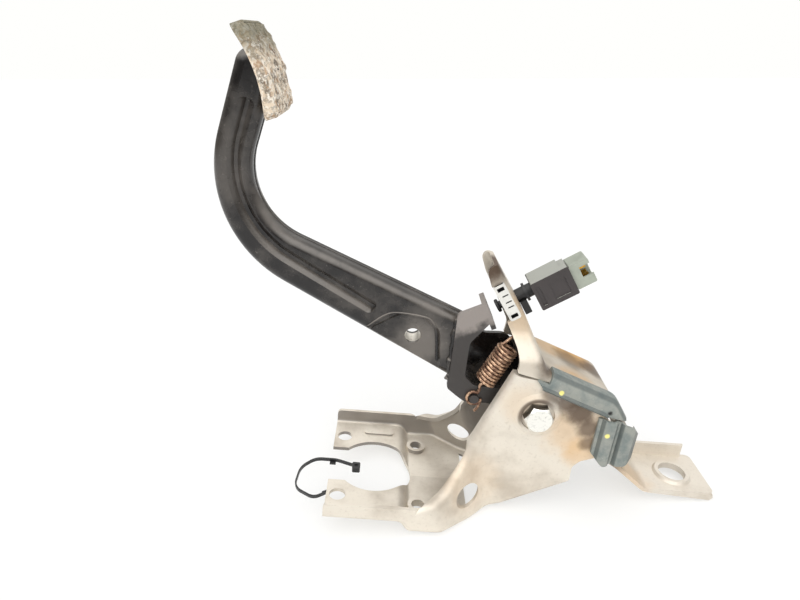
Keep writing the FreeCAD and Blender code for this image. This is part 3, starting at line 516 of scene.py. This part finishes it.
class BRAKE_PEDAL_OT_bracket(bpy.types.Operator):
    """Finish of the side plates, the upper bracket and the leg"""
    bl_idname = "brake_pedal.bracket"
    bl_label = "Bracket"

    def execute(self, context):
        s = context.scene.pedal_bracket
        tones = [tuple(c) for c in (s.zinc, s.zinc_dull, s.straw, s.brown)]
        plates = galvanised_sheet("galvanised_side_plates", *tones, [
            ((122, -27, 62), 24, "straw", 0.35), ((128, -27, 46), 14, "straw", 0.4),
            ((103, -27, 88), 9, "brown", 0.7), ((113, -27, 82), 10, "brown", 0.85),
            ((122, -27, 75), 11, "brown", 0.9), ((129, -27, 64), 9, "brown", 0.8),
            ((131, -27, 53), 7, "brown", 0.7), ((60, -30, 20), 24, "straw", 0.15),
            ((86, -27, 78), 16, "straw", 0.2), ((30, 20, -5), 60, "brown", 0.12)])
        upper = galvanised_sheet("galvanised_upper_bracket", linear("#d3cabb"), *tones[1:], [
            ((80, -12, 132), 18, "straw", 0.3), ((97, -22, 103), 10, "brown", 0.8),
            ((108, 16, 96), 14, "straw", 0.5), ((126, 18, 90), 16, "straw", 0.8),
            ((122, 10, 92), 14, "brown", 0.6), ((118, -20, 91), 18, "straw", 0.5),
            ((138, 10, 84), 12, "brown", 0.8), ((88, 12, 108), 14, "brown", 0.35),
            ((150, -16, 72), 14, "brown", 0.45), ((56, -9, 160), 17, "brown", 1.0),
            ((53, -6, 165), 14, "brown", 1.0)])
        leg = galvanised_sheet("galvanised_leg", linear("#dad2c5"), *tones[1:], [
            ((165, -15, 24), 24, "straw", 0.35), ((150, -20, 36), 18, "brown", 0.6)])
        shade = galvanised_sheet("galvanised_far_plate", *tones, [((70, 30, 30), 26, "brown", 0.12)])
        self.painted_wall_shade(shade)
        dress(["near_side_plate"], plates)
        dress(["far_side_plate"], shade)
        dress(["upper_bracket"], upper)
        dress(["rear_leg"], leg)
        self.painted_dimple_shade(plates, tones[3])
        return {"FINISHED"}

    def painted_wall_shade(self, material):
        """Paints shade on the upright faces that look to the near side, and leaves the floor pale."""
        tree = material.node_tree
        facing = along(tree, face_normal(tree), (0, -1, 0))
        recolour(material, ramp(tree, facing, 0.35, 0.95, 0, 0.85), linear("#7d7873"))

    def painted_dimple_shade(self, material, tone):
        """Painted shade in the dimple, 9 to 12.5 mm from the pivot axis on its upper side."""
        tree = material.node_tree
        flat = add(tree, "ShaderNodeVectorMath", {0: object_place(tree), 1: (1, 0, 1)}, operation="MULTIPLY")
        arm = add(tree, "ShaderNodeVectorMath", {0: flat.outputs[0], 1: PIVOT}, operation="SUBTRACT").outputs[0]
        far = add(tree, "ShaderNodeVectorMath", {0: arm}, operation="LENGTH").outputs["Value"]
        ring = multiply(tree, ramp(tree, far, 0.0085, 0.0095), ramp(tree, far, 0.0112, 0.0132, 1.0, 0.0))
        upper = ramp(tree, along(tree, arm, (-0.62, 0, 0.78)), -0.004, 0.006, 0.0, 0.8)
        recolour(material, multiply(tree, ring, upper), tone)


class BRAKE_PEDAL_OT_stiffeners(bpy.types.Operator):
    """Grey-green coat of the seam stiffener and the end clamp"""
    bl_idname = "brake_pedal.stiffeners"
    bl_label = "Stiffener and clamp"

    def execute(self, context):
        """Clouds of 12 mm with pale specks, painted shade along the folds, one crack and a paint dot on each piece.
        """
        s = context.scene.pedal_bracket
        material, tree, shader, at = new_material("grey_green_coat")
        cloud = noise(tree, at, 12, 5, 0.6)
        speck = noise(tree, at, 1.8, 4, 0.7)
        colour = mix(tree, ramp(tree, cloud, 0.35, 0.7), tuple(s.teal), linear("#707a78"))
        colour = mix(tree, ramp(tree, speck, 0.6, 0.72, 0, 0.5), colour, linear("#b9bdb2"))
        # Painted shade along the folds, where the faces turn between the leaves.
        facing = component(tree, face_normal(tree), 1)
        fold_shade = multiply(tree, ramp(tree, facing, -0.85, -0.7), ramp(tree, facing, -0.45, -0.25, 1.0, 0.0))
        colour = mix(tree, multiply(tree, fold_shade, 0.65), colour, linear("#4b5352"))
        for centre, radius, edge, tone in (((139.0, -28.8, 77.6), 1.8, 0.8, linear("#1c1a18")),
                                           ((106.8, -29.0, 89.4), 2.0, 0.3, tuple(s.paint_dot)),
                                           ((139.6, -32.0, 63.0), 2.0, 0.3, tuple(s.paint_dot))):
            colour = mix(tree, patch(tree, at, centre, radius, edge, speck), colour, tone)
        tree.links.new(colour, shader.inputs["Base Color"])
        tree.links.new(ramp(tree, cloud, 0.3, 0.7, 0.4, 0.62), shader.inputs["Roughness"])
        shader.inputs["Metallic"].default_value = 0.1
        bump(tree, shader, speck, 0.2, 0.1)
        dress(["seam_stiffener", "end_clamp"], material)
        return {"FINISHED"}


class BRAKE_PEDAL_OT_pivot(bpy.types.Operator):
    """Bright zinc of the pivot bolt, nut, washer and sleeve, and the plastic bushes"""
    bl_idname = "brake_pedal.pivot"
    bl_label = "Pivot hardware"

    def execute(self, context):
        """Faces across the axis stay bright, and painted shade darkens the side faces round them."""
        zinc = bright_metal("bright_zinc_plate", tuple(context.scene.pedal_bracket.bolt), 0.3)
        tree = zinc.node_tree
        # Painted shade on the faces that do not look along the axis.
        end_on = calculate(tree, "ABSOLUTE", component(tree, face_normal(tree), 1))
        recolour(zinc, ramp(tree, end_on, 0.2, 0.8, 0.8, 0.0), linear("#5f5850"))
        dress(["pivot_bolt", "pivot_nut", "pivot_washer", "pivot_sleeve"], zinc)
        dress(["near_bush", "far_bush"], moulded_plastic("acetal_bush", linear("#d8d5cc"), 0.45))
        return {"FINISHED"}


class BRAKE_PEDAL_OT_arm(bpy.types.Operator):
    """Black coat of the arm, the hub plates and the tube"""
    bl_idname = "brake_pedal.arm"
    bl_label = "Arm and hub"

    def execute(self, context):
        s = context.scene.pedal_arm
        gloss = coated_steel("black_dip_coat", tuple(s.coat), tuple(s.dust), 0.14, 0.4, 0.38)
        self.dust_and_sheen_places(gloss, tuple(s.dust))
        spatter = coated_steel("coated_weld", tuple(s.coat), tuple(s.dust), 0.25, 0.7, 0.5)
        dress(["near_arm_shell", "far_arm_shell", "pad_plate", "far_hub_plate", "hub_tube"], gloss)
        dress(["near_hub_plate"], self.two_tone_hub_plate(s))
        dress(["pin_collar"], bright_metal("worn_bore_steel", linear("#e9e5dc"), 0.4))
        self.weld_bead(s, spatter)
        self.seam(s, gloss)
        self.pocket_border(s, spatter)
        return {"FINISHED"}

    def dust_and_sheen_places(self, material, dust):
        """Dust round the clevis hole, and dust with a painted sheen up the hanging part of the arm."""
        tree = material.node_tree
        at = object_place(tree)
        ragged = noise(tree, at, 9, 4)
        for centre, radius, share in (((22, -9, 104), 20, 0.42), ((-97, -9, 205), 20, 0.16)):
            recolour(material, multiply(tree, patch(tree, at, centre, radius, 0.8, ragged), share), dust)

    def pocket_border(self, s, material):
        """Raised border of the pressed pocket round the clevis hole, sunk to half its height. Its dustier coat
        makes a light line: dust and a painted highlight.
        """
        border = [(-11.6, 113.2), (-2.0, 121.4), (6.0, 124.0), (22.0, 122.6), (27.0, 119.4), (30.4, 112.0),
                  (32.6, 94.0)]
        path = smooth_path(np.array([(x, ARM_FACE_MM, z) for x, z in border]) * MM, 120)
        tube_piece("pocket_border", path, 2.0 * s.seam, TUBE_SIDES, "pedal", material)

    def two_tone_hub_plate(self, s):
        """Grey coat on the block beside the striker, black coat with dusty clouds below it."""
        material = coated_steel("two_tone_dip_coat", tuple(s.hub), tuple(s.dust), 0.4, 0.5, 0.2)
        tree = material.node_tree
        at = object_place(tree)
        height = calculate(tree, "MULTIPLY_ADD", noise(tree, at, 7, 4), 0.016, along(tree, at, (-0.45, 0, 0.89)))
        recolour(material, ramp(tree, height, 0.086, 0.094, 0.88, 0.0), tuple(s.coat))
        return material

    def weld_bead(self, s, material):
        """Lumpy fillet along the left edge of the near hub plate: its radius and its place swing with ripple()."""
        rings = 150
        path = smooth_path(np.array([(43.0, -9.6, 126.6), (41.2, -9.8, 118), (40.9, -9.8, 104), (41.0, -9.8, 92),
                                     (40.5, -9.6, 82)]) * MM, rings)
        run = np.linspace(0, 44, rings)
        lump = 0.6 * ripple(run, run * 0, 8.5, 1.3) + 0.4 * ripple(run, run * 0, 3.4, 2.6)
        path[:, 0] += 0.9 * MM * ripple(run, run * 0, 9.0, 4.1)
        tube_piece("weld_bead", path, s.bead * (1.0 + 0.4 * lump), TUBE_SIDES, "pedal", material)

    def seam(self, s, material):
        """Weld line along the joint of the two shells on the upper side of the arm: two straight runs that touch
        an arc, whose points are middle + radius * (cos a * towards the corner + sin a * towards the end)."""
        start = np.array([49.5, 0, 121.6])
        corner = np.array([-88.9, 0, 178.3])
        finish = np.array([-67.5, 0, 253.9])
        radius = 42.0
        back, ahead = self.unit(start - corner), self.unit(finish - corner)
        half = 0.5 * math.acos(float(back @ ahead))
        outward = -self.unit(back + ahead)
        middle = corner - outward * radius / math.sin(half)
        sweep = np.linspace(-1, 1, 60)[:, None] * (math.pi / 2 - half)
        arc = middle + radius * (np.cos(sweep) * outward + np.sin(sweep) * self.unit(ahead - back))
        first, last = (corner + side * radius / math.tan(half) for side in (back, ahead))
        share = np.linspace(0, 1, 40)[:, None]
        path = np.vstack([start + (first - start) * share[:-1], arc, last + (finish - last) * share[1:]]) * MM
        tube_piece("shell_seam", path, s.seam, 8, "pedal", material)

    def unit(self, vector):
        return vector / np.linalg.norm(vector)


class BRAKE_PEDAL_OT_pad(bpy.types.Operator):
    """Ribbed rubber pad under dried mud"""
    bl_idname = "brake_pedal.pad"
    bl_label = "Pad"

    def execute(self, context):
        s = context.scene.pedal_pad
        tones = [tuple(c) for c in (s.rubber, s.mud, s.mud_dark, s.mud_pale, s.ochre, s.algae)]
        dress(["pad_rubber"], pad_tread("muddy_rubber", *tones, 0.85))
        mud = pad_tread("dried_mud", *tones, 1.0)
        self.face_crust(s, mud)
        self.edge_crust(s, mud)
        return {"FINISHED"}

    def height(self, s, u, v, seed):
        """Crust above the surface, in mm: two sizes of ripple, sunk where it would be thinner than nothing."""
        lumps = 0.55 * ripple(u, v, 15.0, seed) + 0.45 * ripple(u, v, 5.5, seed + 2.0)
        return (s.mud_thick / MM) * np.clip(0.35 + lumps, -0.4, 1.0)

    def fade(self, inside):
        """1 on the crust, falling to 0 over its last 1.6 mm, from the distance inside its edge."""
        return np.clip(inside / 1.6, 0, 1)

    def curved(self, name, along_face, across, raised, material):
        """Grid on the pad's curved face, whose radius is 72 mm: centre + (radius + raised) * (cos a * out
        + sin a * rise) + across, where a is the way along the face over the radius."""
        lean = math.radians(21.5)
        out = np.array([math.cos(lean), 0, math.sin(lean)])
        rise = np.array([-math.sin(lean), 0, math.cos(lean)])
        radius = 72.0
        centre = np.array([-69.0, 0, 255.2]) - out * radius
        turn = (along_face / radius)[..., None]
        reach = (radius + raised)[..., None]
        points = centre + reach * (np.cos(turn) * out + np.sin(turn) * rise) + across[..., None] * [0, 1.0, 0]
        mesh_piece(name, points * MM, [grid_faces(*along_face.shape)], "pedal", material)

    def face_crust(self, s, material):
        """Crust on the face, sunk by 0.5 mm at its edge. Grooves, the clipped crests of a cosine, show where the ribs
        lie."""
        length, width, sunk = 22.6, 23.2, 0.5
        u, v = np.meshgrid(np.linspace(-length, length, 150), np.linspace(-width, width, 150), indexing="ij")
        edge = self.fade(length - np.abs(u)) * self.fade(width - np.abs(v))
        groove = np.clip(np.cos(2 * math.pi * v / RIB_PITCH_MM + RIB_PHASE) - 0.5, 0, 1)
        high = (self.height(s, u, v, 0.7) - 1.4 * groove + sunk) * edge - sunk
        self.curved("mud_on_face", u, v, high, material)

    def edge_crust(self, s, material):
        """Crust on the near side of the pad, pushed out sideways and sunk by 0.6 mm at its edge."""
        length, low, high, sunk = 17.5, -5.8, -0.4, 0.6
        side = -24.0
        u, w = np.meshgrid(np.linspace(-length, length, 120), np.linspace(low, high, 26), indexing="ij")
        edge = self.fade(length - np.abs(u)) * np.clip(w - low, 0, 1) * np.clip(high - w, 0, 1)
        out = (1.3 * self.height(s, 1.5 * u, 1.5 * w, 3.9) + sunk) * edge - sunk
        self.curved("mud_on_edge", u, side - out, w, material)


class BRAKE_PEDAL_OT_spring(bpy.types.Operator):
    """Return spring: one wire, hook to hook"""
    bl_idname = "brake_pedal.spring"
    bl_label = "Return spring"

    def execute(self, context):
        """The coil is low + axis * t + coil radius * (cos a * side + sin a * Y), the eye a ring round the peg."""
        s = context.scene.pedal_spring
        per_turn = 28
        low = np.array([63.8, -12.0, 84.0]) * MM
        high = np.array([74.8, -12.0, 108.2]) * MM
        across = np.array([0, 1.0, 0])
        side = np.cross((high - low) / np.linalg.norm(high - low), across)
        t = np.linspace(0, 1, s.turns * per_turn)[:, None]
        angle = 2 * math.pi * (s.turns + 0.5) * t + math.pi
        coil = low + (high - low) * t + s.coil * (np.cos(angle) * side + np.sin(angle) * across)
        ring = np.radians(np.linspace(-10, -320, 60))[:, None]
        peg = np.array([58.3, -13.15, 71.4])
        eye_radius = 4.4
        eye = peg + eye_radius * (np.cos(ring) * [1.0, 0, 0] + np.sin(ring) * [0, 0, 1.0])
        tail = np.array([(59.8, -13.15, 61.8), (61.6, -13.15, 65.0)])
        lead = np.array([(61.0, -13.15, 78.0), (61.0, -13.2, 81.2), (63.6, -13.1, 82.4), (67.4, -12.8, 81.0)])
        lower = smooth_path(np.vstack([tail, eye[::6], lead]) * MM, 130)
        upper = smooth_path(np.array([(71.0, -12.4, 110.5), (76.0, -10.5, 114.5), (80.2, -9.3, 118.6),
                                      (80.7, -9.25, 123.0), (79.6, -9.25, 126.1), (77.4, -9.25, 126.8),
                                      (75.3, -9.25, 125.4), (75.0, -9.25, 122.0)]) * MM, 80)
        path = np.vstack([lower, coil, upper])
        path = path[np.r_[True, np.linalg.norm(np.diff(path, axis=0), axis=1) > 1e-6]]
        piece = tube_piece("spring_wire", path, s.wire, TUBE_SIDES, None,
                           spring_wire("oil_tempered_wire", tuple(s.steel), tuple(s.steel_dark)))
        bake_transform(piece)
        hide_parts("return_spring")
        return {"FINISHED"}


class BRAKE_PEDAL_OT_switch(bpy.types.Operator):
    """Lamp switch: white holder, black body, grey-green socket and brass blades"""
    bl_idname = "brake_pedal.switch"
    bl_label = "Lamp switch"

    def execute(self, context):
        s = context.scene.pedal_switch
        dress(["switch_barrel"], moulded_plastic("black_nylon_barrel", tuple(s.strap), 0.4))
        dress(["switch_body"], self.housing(s))
        dress(["switch_connector"], moulded_plastic("grey_green_nylon", tuple(s.socket), 0.45))
        dress(["switch_holder"], self.slotted(s))
        dress(["switch_plunger"], moulded_plastic("black_plunger", tuple(s.strap), 0.35))
        dress(["switch_terminals"], bright_metal("plated_brass_blades", tuple(s.brass), 0.25))
        return {"FINISHED"}

    def housing(self, s):
        """Glass-filled nylon with painted light on the face that looks up."""
        material = moulded_plastic("glass_filled_nylon", tuple(s.body), 0.42)
        tree = material.node_tree
        recolour(material, ramp(tree, along(tree, face_normal(tree), SWITCH_UP), 0.8, 0.95), tuple(s.lit_top_face))
        return material

    def slotted(self, s):
        """White acetal with painted shade inside the slots and fine grooves on the near face."""
        material = moulded_plastic("white_acetal", tuple(s.holder), 0.4)
        tree = material.node_tree
        at = object_place(tree)
        reach = along(tree, at, PLUNGER_AXIS)
        between = multiply(tree, ramp(tree, reach, 0.13273, 0.13293), ramp(tree, reach, 0.13803, 0.13823, 1.0, 0.0))
        sunk = ramp(tree, component(tree, at, 1), -0.01595, -0.01580)
        recolour(material, multiply(tree, between, sunk), tuple(s.strap))
        return material


class BRAKE_PEDAL_OT_tie(bpy.types.Operator):
    """Black plastic tie under the near flange"""
    bl_idname = "brake_pedal.tie"
    bl_label = "Cable tie"

    def execute(self, context):
        dress(["cable_tie"], moulded_plastic("black_nylon_strap", tuple(context.scene.pedal_switch.strap), 0.35))
        return {"FINISHED"}


STEPS = (BRAKE_PEDAL_OT_stage, BRAKE_PEDAL_OT_bracket, BRAKE_PEDAL_OT_stiffeners, BRAKE_PEDAL_OT_pivot,
         BRAKE_PEDAL_OT_arm, BRAKE_PEDAL_OT_pad, BRAKE_PEDAL_OT_spring, BRAKE_PEDAL_OT_switch, BRAKE_PEDAL_OT_tie)
SETTINGS = {"pedal_bracket": BracketSettings, "pedal_arm": ArmSettings, "pedal_pad": PadSettings,
            "pedal_spring": SpringSettings, "pedal_switch": SwitchSettings, "pedal_stage": StageSettings}


class BRAKE_PEDAL_PT_panel(bpy.types.Panel):
    """Lists the steps and their sizes and colours"""
    bl_label = "Brake pedal"
    bl_idname = "BRAKE_PEDAL_PT_panel"
    bl_space_type = "VIEW_3D"
    bl_region_type = "UI"
    bl_category = "Brake pedal"

    def draw(self, context):
        for step in STEPS:
            self.layout.operator(step.bl_idname)
        for key, group in SETTINGS.items():
            box = self.layout.box()
            for name in group.__annotations__:
                box.prop(getattr(context.scene, key), name)


def register():
    for group in SETTINGS.values():
        bpy.utils.register_class(group)
    for key, group in SETTINGS.items():
        setattr(bpy.types.Scene, key, PointerProperty(type=group))
    for step in STEPS + (BRAKE_PEDAL_PT_panel,):
        bpy.utils.register_class(step)


def unregister():
    for step in reversed(STEPS + (BRAKE_PEDAL_PT_panel,)):
        bpy.utils.unregister_class(step)
    for key, group in reversed(SETTINGS.items()):
        delattr(bpy.types.Scene, key)
        bpy.utils.unregister_class(group)


def main():
    """Registers the add-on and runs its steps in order."""
    register()
    bpy.ops.brake_pedal.stage()
    bpy.ops.brake_pedal.bracket()
    bpy.ops.brake_pedal.stiffeners()
    bpy.ops.brake_pedal.pivot()
    bpy.ops.brake_pedal.arm()
    bpy.ops.brake_pedal.pad()
    bpy.ops.brake_pedal.spring()
    bpy.ops.brake_pedal.switch()
    bpy.ops.brake_pedal.tie()
    bpy.context.view_layer.update()


if __name__ == "__main__":
    main()
